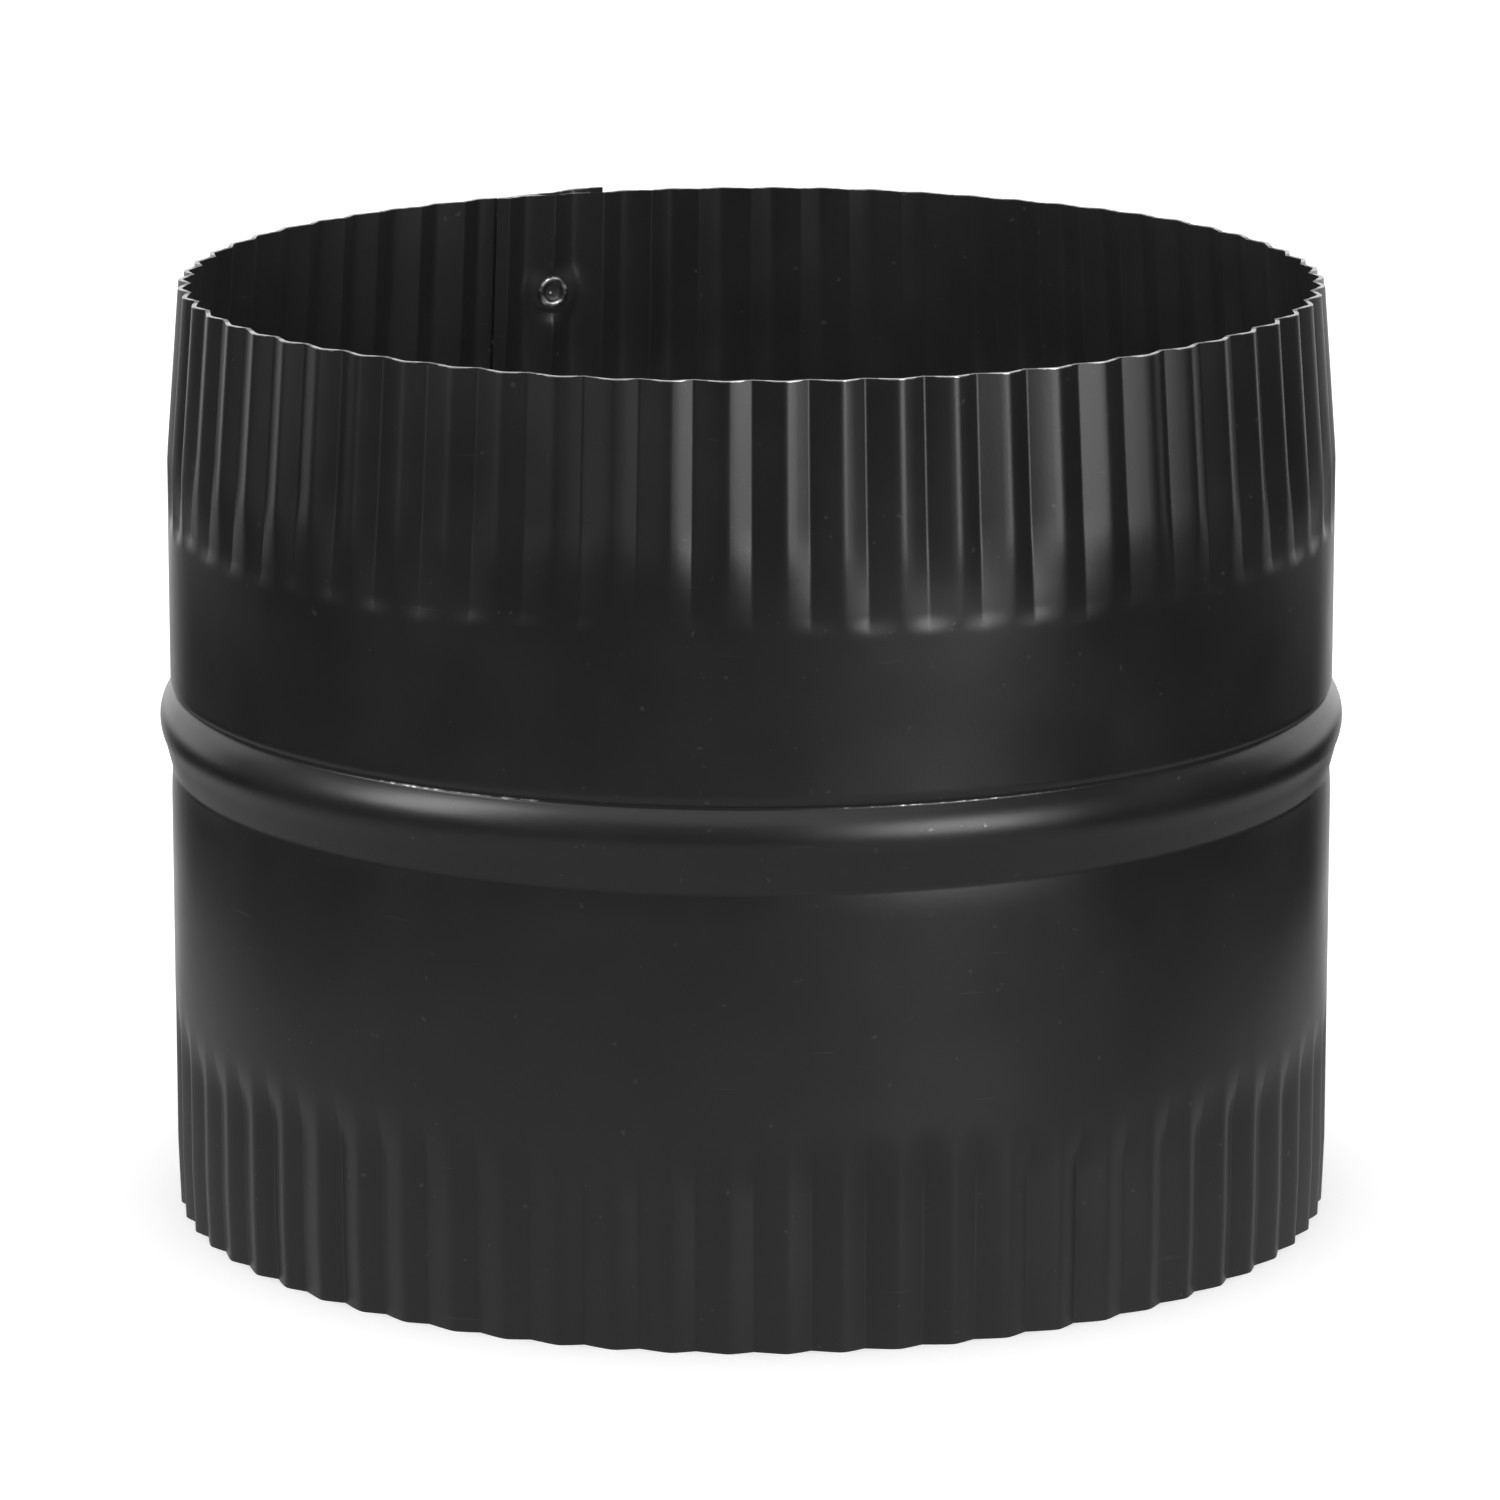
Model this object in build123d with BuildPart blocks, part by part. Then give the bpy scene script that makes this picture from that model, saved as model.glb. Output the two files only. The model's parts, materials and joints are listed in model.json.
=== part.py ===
# Stove pipe starter: one strip of sheet steel rolled round, with its two ends lapped and clinched.
# Both ends are crimped, so that a pipe slips over each, and a bead round the middle stops the pipes.
# Lengths are in millimetres and angles in degrees. +Z runs up the axis from the lower rim's centre.
import os
from math import cos, pi, radians, sin

from build123d import *

os.makedirs("parts", exist_ok=True)

# Pipe that slips over either end
pipe_bore = 152.4
slip_gap = 0.3

# Sheet, and the lap where its ends cross
sheet = 0.6
lap_gap = 0.1
lap_crimps = 2
lap_corner_lift = 0.65
lap_corner_crimps = 1.5
seam_angle = 106.5

# Heights of the bands, from the lower rim up
lower_crimp_length = 28.3
lower_band_length = 30.5
bead_length = 10.6
upper_band_length = 22.7
upper_crimp_length = 30.1

# Bead, with a pinched neck below it and a crisp crease above it
bead_rise = 1.4
bead_crest_height = 6.6
bead_flank_rise = 0.8
bead_flank_height = 3.9
neck_depth = 0.6
neck_length = 4.0
crease_depth = 0.45
crease_length = 1.2

# Crimps: sharp valleys pressed in between blunt crests, running out towards the bands
crimp_count = 66
crimp_depth = 1.1
crest_share = 0.57
crest_width = 1.1
lower_run_out = 7.0
upper_run_out = 4.5
blend_length = 1.0
lower_rim_draw = 0.3
upper_rim_draw = 1.7

# Clinch points that hold the lap, one near each rim
clinch_inset = 13.7
clinch_turn = 1.0
clinch_flat_radius = 3.2
clinch_ring_radius = 2.05
clinch_dish_radius = 1.3
clinch_proud = 0.4
punch_radius = 1.6
punch_depth = 0.7

# Worked out from the sizes above
wall_radius = pipe_bore / 2 - slip_gap
lap_step = sheet + lap_gap
lap_thickness = sheet + lap_step
clinch_thickness = lap_thickness + crimp_depth / 2
pitch_angle = 360 / crimp_count
pitch = 2 * pi * wall_radius / crimp_count
crest_half_turn = crest_width / 2 / pitch
strip_crimps = crimp_count + lap_crimps
strip_end = strip_crimps + (crest_share - crest_half_turn) / 2
joggle_start = crimp_count - 1
tip_turns = [*range(strip_crimps + 1), strip_end]
corners_per_crimp = 3
bead_base = lower_crimp_length + lower_band_length
bead_top = bead_base + bead_length
upper_crimp_base = bead_top + upper_band_length
height = upper_crimp_base + upper_crimp_length
upper_rim_radius = wall_radius - upper_rim_draw
lower_rim_radius = wall_radius - lower_rim_draw


def turned(radius, turn, level=0):
    """The point at a radius and a height, a number of crimps round from the strip's outer end."""
    angle = radians(seam_angle + turn * pitch_angle)
    return Vector(radius * cos(angle), radius * sin(angle), level)


def lapped(radius, turn):
    """A radius on the strip, one step further in where the strip passes under its own start."""
    if turn < crimp_count:
        return radius
    return radius - lap_step


def crimped_row(level, crest_radius, corner_lift=0):
    """Corners of the crimped strip's face at one height: a valley and a blunt crest for each crimp.

    The strip's outer corner can stand a little higher than the rest of the row.
    """
    places = []
    valley_radius = crest_radius - crimp_depth
    for crimp in range(strip_crimps):
        crest = crimp + crest_share
        places.append((lapped(valley_radius, crimp), crimp))
        places.append((lapped(crest_radius, crimp), crest - crest_half_turn))
        places.append((lapped(crest_radius, crimp), crest + crest_half_turn))
    places.append((valley_radius - lap_step, strip_crimps))
    places.append((crest_radius - crimp_depth / 2 - lap_step, strip_end))
    row = []
    for radius, turn in places:
        lift = corner_lift * max(0, 1 - turn / lap_corner_crimps)
        row.append(turned(radius, turn, level + lift))
    return row


def plain_row(level, radius):
    """Corners of the plain strip's face at one height, where the valleys run out."""
    return [turned(lapped(radius, turn), turn, level) for turn in tip_turns]


def straight_edges(row):
    """Lines from each corner of a row to the next."""
    return [Line(first, last) for first, last in zip(row, row[1:])]


def round_edges(level, radius):
    """The plain strip's face at one height: arcs from corner to corner, and the joggle straight."""
    edges = []
    for first, last in zip(tip_turns, tip_turns[1:]):
        if first == joggle_start:
            edges.append(Line(turned(radius, first, level), turned(radius - lap_step, last, level)))
        else:
            start_angle = seam_angle + first * pitch_angle
            arc_size = (last - first) * pitch_angle
            edges.append(CenterArc((0, 0, level), lapped(radius, first), start_angle, arc_size))
    return edges


def ruled_faces(first_edges, last_edges):
    """Faces ruled between the edges of two rows."""
    pairs = zip(first_edges, last_edges)
    return [Face.make_surface_from_curves(edge1=first, edge2=last) for first, last in pairs]


def flat_face(*corners):
    """A flat face with straight sides."""
    return Face(Wire.make_polygon(corners))


def run_out_faces(crimped, plain):
    """Flat faces that take each crimp from its full depth to the plain strip."""
    faces = []
    for crimp in range(strip_crimps):
        corner = corners_per_crimp * crimp
        valley, crest_start, crest_end, next_valley = crimped[corner : corner + corners_per_crimp + 1]
        tip, next_tip = plain[crimp : crimp + 2]
        faces.append(flat_face(valley, crest_start, tip))
        faces.append(flat_face(crest_start, next_tip, tip))
        faces.append(flat_face(crest_start, crest_end, next_tip))
        faces.append(flat_face(crest_end, next_valley, next_tip))
    last_valley, half_way_up = crimped[-2:]
    last_tip, last_corner = plain[-2:]
    faces.append(flat_face(last_valley, half_way_up, last_tip))
    faces.append(flat_face(half_way_up, last_corner, last_tip))
    return faces


def strip_section(outer, inner):
    """The strip cut across, from its two faces, with the sheet's cut edge at each end."""
    first_cut = Line(outer[0] @ 0, inner[0] @ 0)
    last_cut = Line(outer[-1] @ 1, inner[-1] @ 1)
    return Face(Wire([first_cut, *outer, last_cut, *inner]))


def crimped_end(rim_level, rim_radius, corner_lift, run_out_level, blend_level, band_level):
    """One crimped end of the strip, from its rim to the plain band."""
    faces = []
    rims = []
    bands = []
    first_ends = []
    last_ends = []
    for inset in (0, sheet):
        rim = crimped_row(rim_level, rim_radius - inset, corner_lift)
        crimped = crimped_row(run_out_level, wall_radius - inset)
        plain = plain_row(blend_level, wall_radius - inset)
        band = round_edges(band_level, wall_radius - inset)
        rims.append(straight_edges(rim))
        bands.append(band)
        faces += ruled_faces(rims[-1], straight_edges(crimped))
        faces += run_out_faces(crimped, plain)
        faces += ruled_faces(straight_edges(plain), band)
        first_ends.append([rim[0], crimped[0], plain[0], band[0] @ 0])
        last_ends.append([rim[-1], crimped[-1], plain[-1], band[-1] @ 1])
    faces += ruled_faces(*rims)
    faces.append(strip_section(*bands))
    for outer, inner in (first_ends, last_ends):
        faces.append(flat_face(*outer, *reversed(inner)))
    return Solid(Shell(faces))


def wall_section(turn, radius):
    """The wall between the crimps, cut along its height at one turn, with the bead rolled in it.

    The bead is round, and each of its two arcs is rolled in two straight steps.
    """
    outward = turned(1, turn)
    plane = Plane(origin=(0, 0, 0), x_dir=outward, z_dir=(outward.Y, -outward.X, 0))
    neck_start = (radius, bead_base - neck_length)
    neck = (radius - neck_depth, bead_base)
    flank_top = (radius + bead_flank_rise, bead_base + bead_flank_height)
    bead_crest = (radius + bead_rise, bead_base + bead_crest_height)
    crease = (radius - crease_depth, bead_top)
    crease_end = (radius, bead_top + crease_length)
    shoulder = TangentArc(bead_crest, flank_top, tangent=(0, -1)) @ 0.5
    brow = TangentArc(bead_crest, crease, tangent=(0, 1)) @ 0.5
    with BuildSketch(plane) as section:
        with BuildLine():
            Polyline((radius, lower_crimp_length), neck_start, neck, flank_top)
            Polyline(flank_top, shoulder, bead_crest, brow, crease)
            Polyline(crease, crease_end, (radius, upper_crimp_base))
            offset(amount=sheet, side=Side.LEFT, kind=Kind.INTERSECTION)
        make_face()
    return section.sketch


def clinch_plane(level, radius):
    """The plane of a clinch's inner face, looking in at the axis."""
    outward = turned(1, clinch_turn)
    centre = turned(radius - (lap_thickness + clinch_thickness) / 2, clinch_turn, level)
    return Plane(origin=centre, x_dir=(0, 0, 1), z_dir=-outward)


# Clinch point, on its own inner face: the layers pressed flat, a ring inside and a punch mark outside
with BuildPart() as clinch:
    with BuildSketch():
        Circle(clinch_flat_radius)
    extrude(amount=-clinch_thickness)
    with BuildSketch():
        Circle(clinch_ring_radius)
        Circle(clinch_dish_radius, mode=Mode.SUBTRACT)
    extrude(amount=clinch_proud)
    with BuildSketch(Plane.XY.offset(-clinch_thickness)):
        Circle(punch_radius)
    extrude(amount=punch_depth, mode=Mode.SUBTRACT)

# Heights and mean radii of the crimped layers at the two clinch points
clinch_share = (upper_crimp_length - upper_run_out - clinch_inset) / (upper_crimp_length - upper_run_out)
upper_clinch_radius = wall_radius - upper_rim_draw * clinch_share - crimp_depth / 2
lower_clinch_radius = wall_radius - crimp_depth / 2
clinch_cut_length = 2 * (lap_thickness + crimp_depth)
clinch_planes = [
    clinch_plane(clinch_inset, lower_clinch_radius),
    clinch_plane(height - clinch_inset, upper_clinch_radius),
]

# Sections of the wall and the two crimped ends, made before the collar that they join
main_wall = wall_section(0, wall_radius)
joggle_wall = wall_section(joggle_start, wall_radius)
tongue_wall = wall_section(crimp_count, wall_radius - lap_step)
upper_crimps = crimped_end(
    rim_level=height,
    rim_radius=upper_rim_radius,
    corner_lift=lap_corner_lift,
    run_out_level=upper_crimp_base + upper_run_out,
    blend_level=upper_crimp_base + blend_length,
    band_level=upper_crimp_base,
)
lower_crimps = crimped_end(
    rim_level=0,
    rim_radius=lower_rim_radius,
    corner_lift=0,
    run_out_level=lower_crimp_length - lower_run_out,
    blend_level=lower_crimp_length - blend_length,
    band_level=lower_crimp_length,
)

# Collar: the plain bands and bead round the main turn, the joggle and the tongue, then the crimps
with BuildPart() as starter_collar:
    revolve(main_wall, revolution_arc=joggle_start * pitch_angle)
    loft([joggle_wall, tongue_wall], ruled=True)
    revolve(tongue_wall, revolution_arc=(strip_end - crimp_count) * pitch_angle)
    add(upper_crimps)
    add(lower_crimps)
    with Locations(*clinch_planes):
        Cylinder(clinch_flat_radius, clinch_cut_length, mode=Mode.SUBTRACT)
    with Locations(*clinch_planes):
        add(clinch.part)

starter_collar.part.label = "starter_collar"
export_step(starter_collar.part, "parts/starter_collar.step")
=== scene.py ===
import json
from math import cos, pi, radians, sin, tau

import bpy
import numpy as np
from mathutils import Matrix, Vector


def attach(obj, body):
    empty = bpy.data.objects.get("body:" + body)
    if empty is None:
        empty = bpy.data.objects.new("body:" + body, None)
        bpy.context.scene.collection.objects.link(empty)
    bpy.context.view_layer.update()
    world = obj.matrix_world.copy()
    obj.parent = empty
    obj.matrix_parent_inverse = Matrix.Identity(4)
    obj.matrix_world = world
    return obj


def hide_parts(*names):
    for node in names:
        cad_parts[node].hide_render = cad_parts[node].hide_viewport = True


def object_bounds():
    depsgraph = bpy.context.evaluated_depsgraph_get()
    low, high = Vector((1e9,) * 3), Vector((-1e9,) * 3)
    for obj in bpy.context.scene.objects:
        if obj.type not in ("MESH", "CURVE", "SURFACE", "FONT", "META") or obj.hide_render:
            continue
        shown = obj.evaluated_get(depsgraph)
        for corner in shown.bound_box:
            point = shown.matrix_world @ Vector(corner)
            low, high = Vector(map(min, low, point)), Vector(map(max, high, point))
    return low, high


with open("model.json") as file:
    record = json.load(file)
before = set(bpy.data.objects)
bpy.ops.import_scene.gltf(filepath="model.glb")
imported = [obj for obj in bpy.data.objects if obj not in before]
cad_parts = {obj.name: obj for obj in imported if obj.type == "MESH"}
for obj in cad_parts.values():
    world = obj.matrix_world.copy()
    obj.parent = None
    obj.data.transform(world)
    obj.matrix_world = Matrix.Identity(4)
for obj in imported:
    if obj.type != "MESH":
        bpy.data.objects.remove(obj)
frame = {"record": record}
cad_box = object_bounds()

MM = 0.001
NODE = "starter_collar"

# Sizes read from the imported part
mounts = {mount["name"]: mount for mount in frame["record"]["mounts"]}
upper_mount = mounts["upper_spigot"]
lower_mount = mounts["lower_spigot"]
wall_radius = upper_mount["dims"]["r_mm"]
bead_rise = cad_box[1].x / MM - wall_radius
lower_crimp_top = lower_mount["pos_m"][2] / MM - lower_mount["dims"]["length_mm"] / 2
neck_start = lower_mount["pos_m"][2] / MM + lower_mount["dims"]["length_mm"] / 2
crease_end = upper_mount["pos_m"][2] / MM - upper_mount["dims"]["length_mm"] / 2
upper_crimp_base = upper_mount["pos_m"][2] / MM + upper_mount["dims"]["length_mm"] / 2

# Strip and lap, as in the part's source but for a corner that is lifted a little less
sheet = 0.6
lap_step = 0.7
lap_crimps = 2
lap_corner_lift = 0.6
lap_corner_crimps = 1.5
seam_angle = 106.5
crimp_count = 66
tongue_past_valley = 0.25
strip_end = crimp_count + lap_crimps + tongue_past_valley
pitch_angle = 360 / crimp_count
pitch = tau * wall_radius / crimp_count

# Bead, as in the part's source but for a shallower neck
neck_depth = 0.2
neck_length = 4.0
bead_flank_rise = 0.8
bead_flank_height = 3.9
bead_crest_height = 6.6
bead_length = 10.6
crease_depth = 0.45
bead_base = neck_start + neck_length
flank_top = bead_base + bead_flank_height
bead_crest = bead_base + bead_crest_height
crease = bead_base + bead_length

# Crimps as deep as in the part's source, with round crests and ends that fade out, and how much they vary
upper_crimp_length = 30.1
height = upper_crimp_base + upper_crimp_length
crimp_depth = 1.1
crest_share = 0.57
crest_power = 9
lower_run_out = 8.0
upper_run_out = 13.0
upper_run_out_drop = 1.5
blunt_length = 2.5
blunt_share = 0.25
upper_draw_length = 22.0
lower_rim_draw = 0.3
upper_rim_draw = 1.7
place_spread = 0.035
depth_spread = 0.16
end_spread = 0.5
rim_wander = 0.12
jitter_seed = 11

# Clinch points that hold the lap
clinch_turn = 1.0
clinch_inset = 13.7
clinch_flat_radius = 3.0
clinch_blend = 1.8
clinch_hole = 2.9

# Worn paint, from 0 to 1 for bare steel: the cut edges, and the lines along the crease above the bead
# and the scuff on its brow, each over a span of front angles
worn_edge = 0.3
rim_wear = 0.9
below_rim_wear = 0.3
lower_rim_wear = 0.4
end_wear = 0.25
crease_lines = [(-36, -21, 0.58), (10, 31, 0.46)]
crease_line_width = 0.25
brow_scuff = (12, 24)
brow_scuff_wear = 0.3
brow_scuff_rise = 1.0

# Paint: greys of the coat, its specks and its scratches, bare steel under it, and the coat's roughness
paint_greys = (0.0185, 0.024)
speck_grey = 0.055
scratch_grey = 0.045
bare_steel = (0.62, 0.62, 0.61, 1)
paint_roughness = (0.31, 0.37)

# Studio: each reflector's name, azimuth and elevation in degrees, distance and size in metres, and glow
reflectors = [
    ("key", 38, 15, 1.2, (0.5, 0.6), 8.5),
    ("fill", -68, 32, 1.2, (0.4, 0.8), 9.0),
    ("canopy", 0, 48, 1.2, (1.0, 0.5), 0.9),
    ("left_wall", -138, 14, 0.7, (0.5, 0.5), 1.1),
    ("right_wall", 138, 14, 0.7, (0.5, 0.5), 1.1),
    ("back_wall", 180, 4, 0.9, (0.9, 0.7), 1.3),
]
floor_cards = [("card", (0.4, 0.62), 0.36), ("near_card", (0.26, 0.4), 0.3)]
card_shift = (-0.01, -0.04, 0)
card_drop = 0.002
sky_glow = 0.95
floor_grey = 0.92
floor_glow = 0.3
floor_reach = 6.0


def smooth_step(low, high, value):
    """0 below low, 1 above high and an even ease between them."""
    share = np.clip((value - low) / (high - low), 0, 1)
    return share * share * (3 - 2 * share)


def window(low, high, ease, value):
    """1 from low to high, easing to 0 outside them."""
    return smooth_step(low - ease, low, value) * (1 - smooth_step(high, high + ease, value))


def column_turns():
    """Turns of the mesh's columns: close together at each valley and over each crest."""
    shares = np.array([0, 0.035, 0.2, 0.4, 0.5, 0.57, 0.64, 0.8, 0.965])
    turns = (np.arange(crimp_count + lap_crimps + 1)[:, None] + shares[None, :]).ravel()
    return np.append(turns[turns < strip_end], strip_end)


def row_levels():
    """Heights of the mesh's rows: close together over the bead, the run-outs and the clinch points."""
    upper_clinch = height - clinch_inset
    spans = [
        (0, 0.3, 1),
        (0.3, clinch_inset - 5, 2),
        (clinch_inset - 5, clinch_inset + 5, 7),
        (clinch_inset + 5, lower_crimp_top + 1, 8),
        (lower_crimp_top + 1, neck_start, 2),
        (neck_start, bead_base - 0.4, 4),
        (bead_base - 0.4, bead_base + 0.4, 2),
        (bead_base + 0.4, flank_top, 3),
        (flank_top, bead_crest, 4),
        (bead_crest, crease - 0.25, 7),
        (crease - 0.25, crease + 0.25, 2),
        (crease + 0.25, crease_end, 2),
        (crease_end, crease_end + 0.6, 1),
        (crease_end + 0.6, upper_crimp_base - 2.2, 2),
        (upper_crimp_base - 2.2, upper_crimp_base + 1.8, 8),
        (upper_crimp_base + 1.8, upper_clinch - 5, 5),
        (upper_clinch - 5, upper_clinch + 5, 10),
        (upper_clinch + 5, height - worn_edge, 2),
        (height - worn_edge, height, 2),
    ]
    levels = [np.linspace(low, high, count, endpoint=False) for low, high, count in spans]
    return np.append(np.concatenate(levels), height)


def bead_offset(level):
    """How far the wall stands out from the plain bands at each height."""
    offset = np.zeros_like(level)
    neck = (level >= neck_start) & (level < bead_base)
    approach = (level[neck] - neck_start) / (bead_base - neck_start)
    offset[neck] = -neck_depth * approach**2
    flank = (level >= bead_base) & (level < flank_top)
    climb = (level[flank] - bead_base) / (flank_top - bead_base)
    offset[flank] = -neck_depth + (neck_depth + bead_flank_rise) * climb
    for end, end_offset in ((flank_top, bead_flank_rise), (crease, -crease_depth)):
        drop = bead_rise - end_offset
        arc_radius = ((end - bead_crest) ** 2 + drop**2) / (2 * drop)
        here = (level >= min(end, bead_crest)) & (level <= max(end, bead_crest))
        offset[here] = bead_rise - arc_radius + np.sqrt(arc_radius**2 - (level[here] - bead_crest) ** 2)
    back = (level > crease) & (level < crease_end)
    offset[back] = -crease_depth * ((crease_end - level[back]) / (crease_end - crease)) ** 2
    return offset


def crimp_profile(share):
    """Height of the crimp's face across one crimp: 0 in the sharp valley, 1 on the rounded crest."""
    tent = np.where(share < crest_share, share / crest_share, (1 - share) / (1 - crest_share))
    return (crest_power * tent - tent**crest_power) / (crest_power - 1)


def uneven(rng, spread):
    """One random value for each valley round the collar, repeated where the strip laps itself."""
    values = rng.uniform(-spread, spread, crimp_count)
    return np.concatenate([values, values[: lap_crimps + 2]])


def between(values, turns):
    """Values given for each valley, read at any turn, as one column of a grid."""
    crimp = np.floor(turns).astype(int)
    share = turns - crimp
    return (values[crimp] * (1 - share) + values[crimp + 1] * share)[:, None]


def clinch_distances(turn, level):
    """Distance along the sheet from each point of the strip to the nearer clinch point."""
    round_turn = np.where(turn >= crimp_count, turn - crimp_count, turn)
    across = (round_turn - clinch_turn) * pitch
    lower = np.hypot(across, level - clinch_inset)
    upper = np.hypot(across, level - height + clinch_inset)
    return np.minimum(lower, upper)


def strip_grid():
    """Turns, angles, heights and radii of the strip's outer face, and how near a crest each point is."""
    rng = np.random.default_rng(jitter_seed)
    turns = column_turns()
    turn, level = np.meshgrid(turns, row_levels(), indexing="ij")
    profile = crimp_profile(turn - np.floor(turn))

    upper_place = between(uneven(rng, place_spread), turns)
    lower_place = between(uneven(rng, place_spread), turns)
    upper_depth = crimp_depth * (1 + between(uneven(rng, depth_spread), turns))
    lower_depth = crimp_depth * (1 + between(uneven(rng, depth_spread), turns))
    upper_end = upper_crimp_base - upper_run_out_drop + between(uneven(rng, end_spread), turns)
    lower_end = lower_crimp_top + between(uneven(rng, end_spread), turns)

    upness = smooth_step(lower_crimp_top, upper_crimp_base, level)
    place = lower_place * (1 - upness) + upper_place * upness
    angle = np.radians(seam_angle + pitch_angle * (turn + place))

    blunt_end = smooth_step(upper_end, upper_end + blunt_length, level)
    long_end = smooth_step(upper_end, upper_end + upper_run_out, level)
    upper_depth = upper_depth * (blunt_share * blunt_end + (1 - blunt_share) * long_end)
    lower_depth = lower_depth * (1 - smooth_step(lower_end - lower_run_out, lower_end, level))
    upper_draw = upper_rim_draw * np.clip(1 - (height - level) / upper_draw_length, 0, 1)
    lower_draw = lower_rim_draw * np.clip(1 - level / lower_run_out, 0, 1)
    lap = lap_step * smooth_step(crimp_count - 1, crimp_count, turn)
    base = wall_radius + bead_offset(level) - upper_draw - lower_draw - lap
    radius = base - (upper_depth + lower_depth) * (1 - profile)

    flat_edge = clinch_flat_radius + clinch_blend
    flat = 1 - smooth_step(clinch_flat_radius, flat_edge, clinch_distances(turn, level))
    radius = radius * (1 - flat) + (base - crimp_depth / 2) * flat

    near_rim = smooth_step(upper_crimp_base, height, level) ** 2
    slow_wave = np.sin(turn * 0.31)
    quick_wave = np.sin(turn * 0.83 + 1.0)
    wander = rim_wander * (slow_wave + quick_wave - 2) / 2
    corner = lap_corner_lift * np.clip(1 - turn / lap_corner_crimps, 0, 1)
    return turn, angle, level + near_rim * (wander + corner), radius, profile


def ring_points(angle, level, radius):
    """Points in metres from angles, heights and radii."""
    return np.stack([radius * np.cos(angle), radius * np.sin(angle), level], axis=-1) * MM


def bead_wear(angle, level):
    """Where paint is rubbed off the bead: lines along the crease above it and a scuff above its crest."""
    front_angle = (np.degrees(angle) + 90 + 180) % 360 - 180
    on_crease = 1 - smooth_step(0.0, crease_line_width, np.abs(level - crease))
    on_brow = 1 - smooth_step(0.2, 1.0, np.abs(level - bead_crest - brow_scuff_rise))
    wear = brow_scuff_wear * window(*brow_scuff, 3, front_angle) * on_brow
    for low, high, depth in crease_lines:
        wear = np.maximum(wear, depth * window(low, high, 4, front_angle) * on_crease)
    return wear


class MeshDraft:
    """Vertices, faces and worn paint collected for one mesh."""

    def __init__(self):
        self.points = []
        self.faces = []
        self.worn = []
        self.count = 0

    def add_grid(self, points, worn, flip=False, hole=None):
        """Adds a sheet of quads over a grid of points, without those that have every corner in the hole."""
        columns, rows = points.shape[:2]
        index = self.count + np.arange(columns * rows).reshape(columns, rows)
        quads = np.stack([index[:-1, :-1], index[1:, :-1], index[1:, 1:], index[:-1, 1:]], axis=-1)
        quads = quads.reshape(-1, 4)
        if hole is not None:
            quads = quads[~hole.ravel()[quads - self.count].all(axis=1)]
        if flip:
            quads = quads[:, ::-1]
        self.points.append(points.reshape(-1, 3))
        self.worn.append(np.broadcast_to(worn, (columns, rows)).ravel())
        self.faces.append(quads)
        self.count += columns * rows

    def make_object(self, name, material):
        """The finished mesh as a smooth-shaded object."""
        mesh = bpy.data.meshes.new(name)
        mesh.from_pydata(np.concatenate(self.points).tolist(), [], np.concatenate(self.faces).tolist())
        worn = mesh.attributes.new("worn", "FLOAT", "POINT")
        worn.data.foreach_set("value", np.concatenate(self.worn).astype(np.float32))
        mesh.shade_smooth()
        mesh.materials.append(material)
        piece = bpy.data.objects.new(name, mesh)
        bpy.context.scene.collection.objects.link(piece)
        return piece


def add_strip(draft):
    """The strip's two faces and its four cut edges."""
    turn, angle, level, radius, profile = strip_grid()
    outer = ring_points(angle, level, radius)
    inner = ring_points(angle, level, radius - sheet)
    # The cut edges go to bare steel towards each crest and keep the black paint down in each valley, so
    # their bright line breaks dark at every valley.
    bare_rim = np.clip((profile[:, :1] - 0.3) * 4, 0, 1)
    edge_wear = np.zeros_like(level)
    edge_wear[:, -1:] = rim_wear * bare_rim
    edge_wear[:, -2:-1] = below_rim_wear * bare_rim
    punched = (clinch_distances(turn, level) < clinch_hole) & (turn < crimp_count)
    draft.add_grid(outer, np.maximum(edge_wear, bead_wear(angle, level)), hole=punched)
    draft.add_grid(inner, edge_wear, flip=True)
    draft.add_grid(np.stack([outer[:, -1], inner[:, -1]], axis=1), bare_rim)
    draft.add_grid(np.stack([outer[:, 0], inner[:, 0]], axis=1), lower_rim_wear * bare_rim, flip=True)
    draft.add_grid(np.stack([outer[0], inner[0]], axis=0), end_wear, flip=True)
    draft.add_grid(np.stack([outer[-1], inner[-1]], axis=0), end_wear)


def add_turned(draft, profile, centre, axis):
    """A small round form turned about an axis, from its radii, rises along the axis and wear."""
    corners = 48
    spin = np.linspace(0, tau, corners + 1)
    up = np.array([0, 0, 1.0])
    side = np.cross(up, axis)
    out = np.cos(spin)[:, None] * side + np.sin(spin)[:, None] * up
    reach, rise, worn = np.array(profile).T
    points = centre + reach[None, :, None] * out[:, None, :] + rise[None, :, None] * axis
    draft.add_grid(points * MM, worn[None, :], flip=True)


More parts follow.
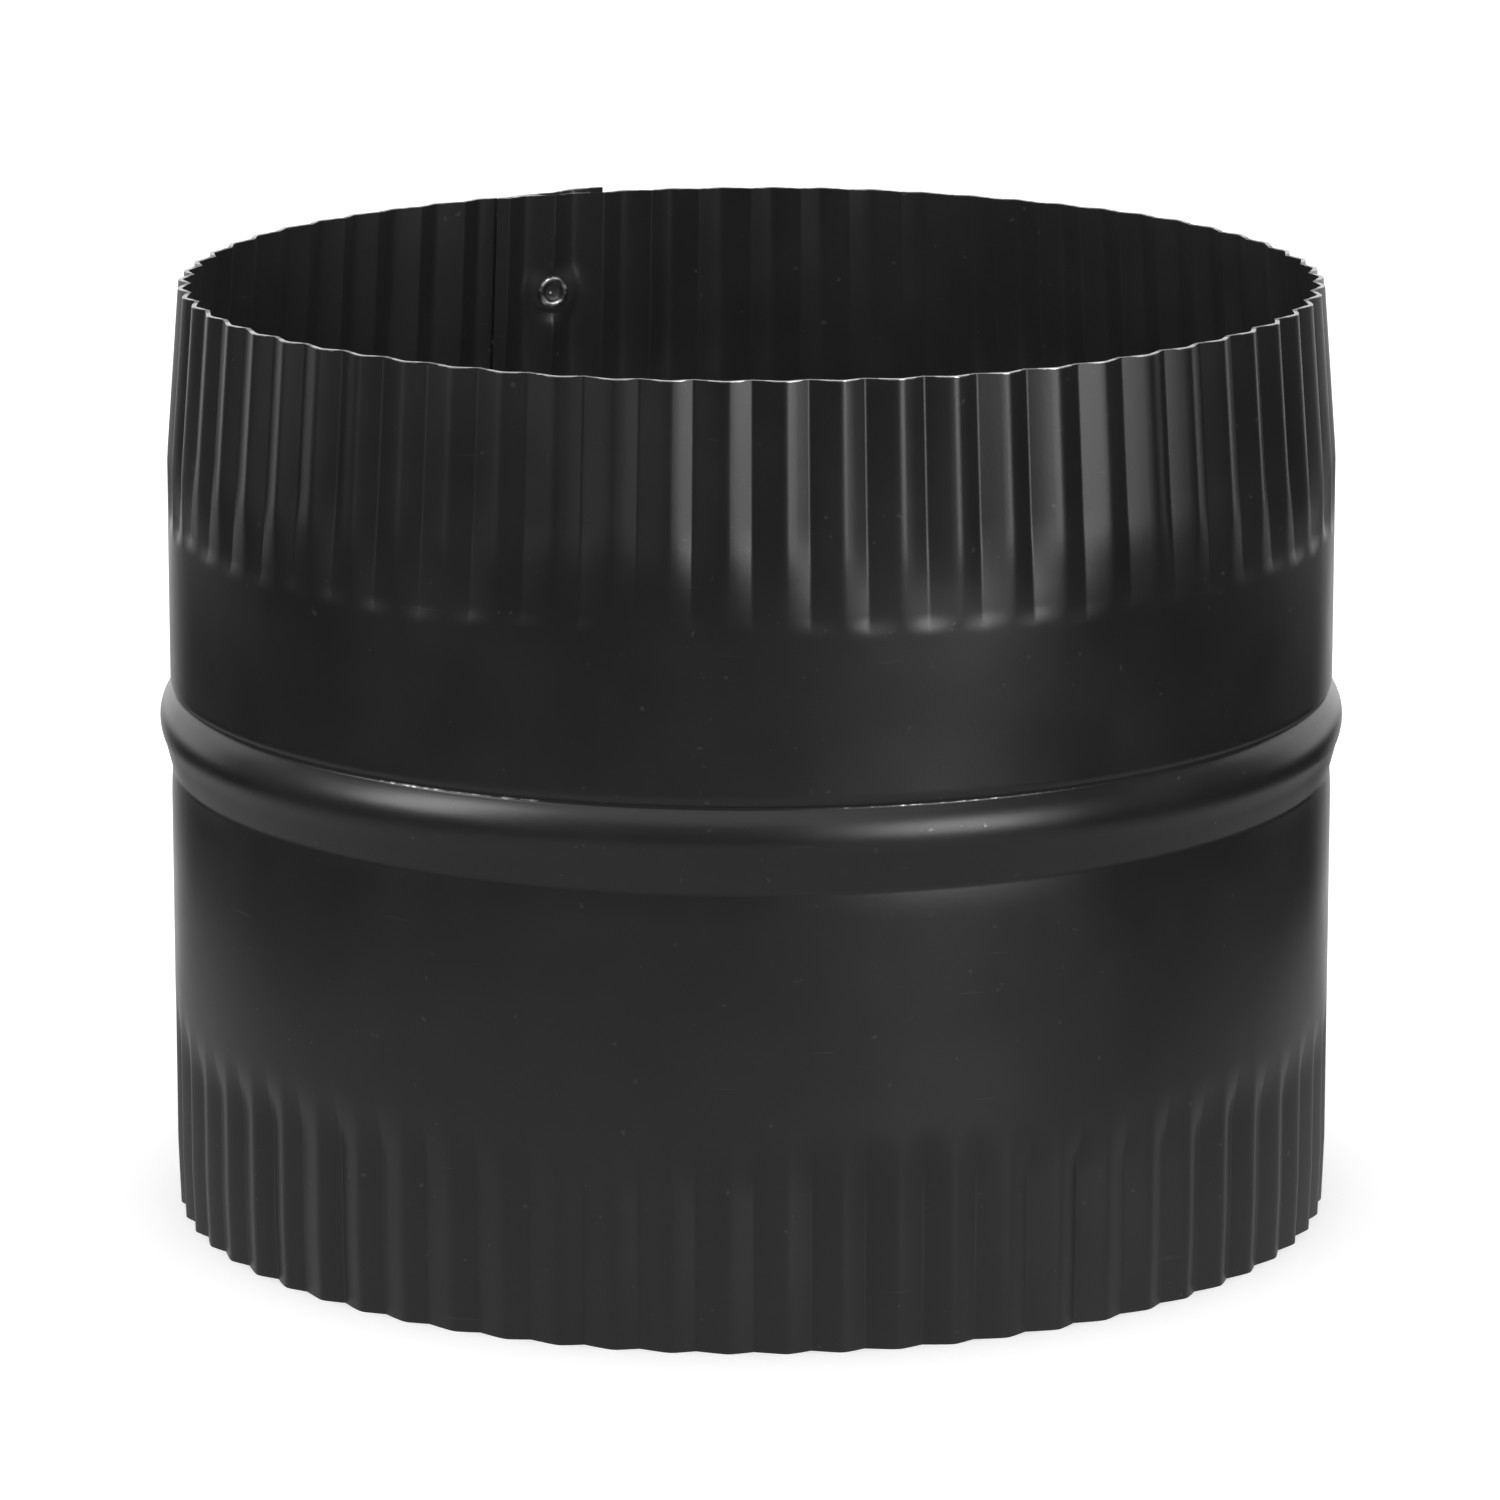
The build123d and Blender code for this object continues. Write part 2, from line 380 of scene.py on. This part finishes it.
def add_clinches(draft):
    """The raised ring inside the lap and the punch mark outside it, at both clinch points."""
    ring = [
        (3.0, -0.05, 0), (2.4, 0.02, 0), (2.15, 0.1, 0.3), (2.05, 0.3, 0.44), (1.9, 0.38, 0.48),
        (1.6, 0.37, 0.48), (1.45, 0.28, 0.42), (1.35, 0.12, 0.2), (0.9, 0.06, 0), (0.0, 0.05, 0),
    ]
    # A small raised dot set off the ring's middle, its top partly taken to bare steel so it shows bright.
    dot = [(0.36, 0.04, 0.2), (0.3, 0.13, 0.35), (0.16, 0.18, 0.4), (0.0, 0.19, 0.4)]
    punch = [
        (3.4, -0.16, 0), (2.6, -0.02, 0), (1.9, 0.0, 0), (1.68, -0.05, 0.1),
        (1.5, -0.3, 0), (1.25, -0.5, 0), (0.7, -0.58, 0), (0.0, -0.6, 0),
    ]
    angle = radians(seam_angle + clinch_turn * pitch_angle)
    outward = np.array([cos(angle), sin(angle), 0])
    along = np.array([-sin(angle), cos(angle), 0])
    upper_share = 1 - clinch_inset / upper_draw_length
    for level, draw in ((clinch_inset, 0), (height - clinch_inset, upper_rim_draw * upper_share)):
        flat_radius = wall_radius - draw - crimp_depth / 2
        middle = np.array([0, 0, level])
        inside = outward * (flat_radius - lap_step - sheet) + middle
        add_turned(draft, ring, inside, -outward)
        add_turned(draft, dot, inside + 0.3 * along - np.array([0, 0, 0.3]), -outward)
        add_turned(draft, punch, outward * flat_radius + middle, outward)


def new_node(tree, kind, **values):
    """A shader node with its sockets set."""
    node = tree.nodes.new(kind)
    for name, value in values.items():
        node.inputs[name.replace("_", " ")].default_value = value
    return node


def noise(tree, place, scale, detail):
    """A noise over the collar's own coordinates."""
    node = new_node(tree, "ShaderNodeTexNoise", Scale=scale, Detail=detail)
    tree.links.new(place, node.inputs["Vector"])
    return node.outputs["Fac"]


def spread(tree, value, low, high, to_low=0.0, to_high=1.0):
    """A value moved from one range to another."""
    node = new_node(
        tree, "ShaderNodeMapRange", From_Min=low, From_Max=high, To_Min=to_low, To_Max=to_high
    )
    tree.links.new(value, node.inputs["Value"])
    return node.outputs["Result"]


def blend(tree, share, first, second):
    """A colour between two, each a colour or another node's output."""
    node = tree.nodes.new("ShaderNodeMix")
    node.data_type = "RGBA"
    tree.links.new(share, node.inputs["Factor"])
    for name, colour in (("A", first), ("B", second)):
        if isinstance(colour, tuple):
            node.inputs[name].default_value = colour
        else:
            tree.links.new(colour, node.inputs[name])
    return node.outputs["Result"]


def grey(value):
    """A grey as a colour."""
    return (value, value, value, 1)


def paint_material():
    """Satin black stove paint, faintly mottled and specked, worn to bare steel where the mesh says so."""
    material = bpy.data.materials.new("black_steel_paint")
    material.use_nodes = True
    tree = material.node_tree
    shader = tree.nodes["Principled BSDF"]
    place = tree.nodes.new("ShaderNodeTexCoord").outputs["Object"]
    mottle = noise(tree, place, 60, 6)
    specks = noise(tree, place, 800, 1)
    chips = noise(tree, place, 900, 3)
    grain = noise(tree, place, 2600, 2)
    streak = new_node(tree, "ShaderNodeMapping", Scale=(0.12, 0.12, 2.2))
    tree.links.new(place, streak.inputs["Vector"])
    scratches = noise(tree, streak.outputs["Vector"], 700, 2)

    worn = tree.nodes.new("ShaderNodeAttribute")
    worn.attribute_name = "worn"
    chipped = tree.nodes.new("ShaderNodeMath")
    chipped.operation = "ADD"
    tree.links.new(worn.outputs["Fac"], chipped.inputs[0])
    tree.links.new(chips, chipped.inputs[1])
    bare = spread(tree, chipped.outputs[0], 0.9, 1.15)

    dark, light = paint_greys
    paint = blend(tree, spread(tree, mottle, 0.3, 0.7), grey(dark), grey(light))
    dusty = blend(tree, spread(tree, specks, 0.75, 0.8), paint, grey(speck_grey))
    marked = blend(tree, spread(tree, scratches, 0.73, 0.8), dusty, grey(scratch_grey))
    colour = blend(tree, bare, marked, bare_steel)
    tree.links.new(colour, shader.inputs["Base Color"])
    tree.links.new(bare, shader.inputs["Metallic"])
    tree.links.new(spread(tree, mottle, 0.3, 0.7, *paint_roughness), shader.inputs["Roughness"])

    bump = new_node(tree, "ShaderNodeBump", Strength=0.25, Distance=0.00003)
    tree.links.new(grain, bump.inputs["Height"])
    tree.links.new(bump.outputs["Normal"], shader.inputs["Normal"])
    return material


def floor_material():
    """Plain matt white."""
    material = bpy.data.materials.new("floor_white")
    material.use_nodes = True
    shader = material.node_tree.nodes["Principled BSDF"]
    shader.inputs["Base Color"].default_value = grey(floor_grey)
    shader.inputs["Roughness"].default_value = 1.0
    shader.inputs["Specular IOR Level"].default_value = 0.0
    shader.inputs["Emission Color"].default_value = grey(1)
    shader.inputs["Emission Strength"].default_value = floor_glow
    return material


def add_floor():
    """A wide floor under the collar, left out of the paint's gloss so that the black stays deep."""
    reach = floor_reach
    corners = [(-reach, -reach, 0), (reach, -reach, 0), (reach, reach, 0), (-reach, reach, 0)]
    mesh = bpy.data.meshes.new("floor")
    mesh.from_pydata(corners, [], [(0, 1, 2, 3)])
    mesh.materials.append(floor_material())
    floor = bpy.data.objects.new("floor", mesh)
    bpy.context.scene.collection.objects.link(floor)
    floor.visible_glossy = False
    floor.visible_diffuse = False
    floor.visible_shadow = False


def add_softbox(name, azimuth, elevation, distance, size, glow):
    """A soft light that looks at the collar, at an azimuth to the right of the camera."""
    light = bpy.data.lights.new(name, "AREA")
    light.shape = "RECTANGLE"
    light.size, light.size_y = size
    light.energy = glow * pi * size[0] * size[1]
    lamp = bpy.data.objects.new(name, light)
    turn, lift = radians(azimuth), radians(elevation)
    aim = Vector((0, 0, height * MM / 2))
    back = Vector((sin(turn) * cos(lift), -cos(turn) * cos(lift), sin(lift)))
    lamp.location = aim + distance * back
    lamp.rotation_euler = back.to_track_quat("Z", "Y").to_euler()
    lamp.visible_camera = False
    bpy.context.scene.collection.objects.link(lamp)
    return lamp


def add_reflector(*placing):
    """A light that only the paint's gloss shows."""
    lamp = add_softbox(*placing)
    lamp.visible_diffuse = False
    return lamp


def add_lights():
    """A softbox and an even sky over the collar, and the reflectors and floor cards round it."""
    add_softbox("overhead", 0, 89, 1.3, (1.3, 1.3), 1.0)
    for placing in reflectors:
        add_reflector(*placing)
    for name, size, glow in floor_cards:
        card = add_reflector(name, 0, -90, height * MM / 2 + card_drop, size, glow)
        card.data.shape = "ELLIPSE"
        card.location += Vector(card_shift)
    world = bpy.data.worlds.new("studio")
    bpy.context.scene.world = world
    world.use_nodes = True
    tree = world.node_tree
    background = tree.nodes["Background"]
    place = tree.nodes.new("ShaderNodeTexCoord")
    split = tree.nodes.new("ShaderNodeSeparateXYZ")
    tree.links.new(place.outputs["Generated"], split.inputs["Vector"])
    above_horizon = spread(tree, split.outputs["Z"], -0.02, 0.02, 0, sky_glow)
    tree.links.new(above_horizon, background.inputs["Strength"])
    background.inputs["Color"].default_value = grey(1)
    world.cycles_visibility.glossy = False


def add_camera():
    """A long lens at the photo's angle."""
    elevation = radians(13.1)
    distance = 1.0637
    frame_pixels = 1500
    focal_pixels = 8102
    aim = Vector((-0.00016, 0, 0.0593))
    camera = bpy.data.cameras.new("camera")
    camera.sensor_width = 36
    camera.lens = focal_pixels / frame_pixels * camera.sensor_width
    camera.clip_end = 100
    eye = bpy.data.objects.new("camera", camera)
    back = Vector((0, -cos(elevation), sin(elevation)))
    eye.location = aim + distance * back
    eye.rotation_euler = back.to_track_quat("Z", "Y").to_euler()
    bpy.context.scene.collection.objects.link(eye)
    bpy.context.scene.camera = eye


draft = MeshDraft()
add_strip(draft)
add_clinches(draft)
collar = draft.make_object("rolled_collar", paint_material())
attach(collar, "root")
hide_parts(NODE)

add_floor()
add_lights()
add_camera()
bpy.context.scene.view_settings.view_transform = "Standard"
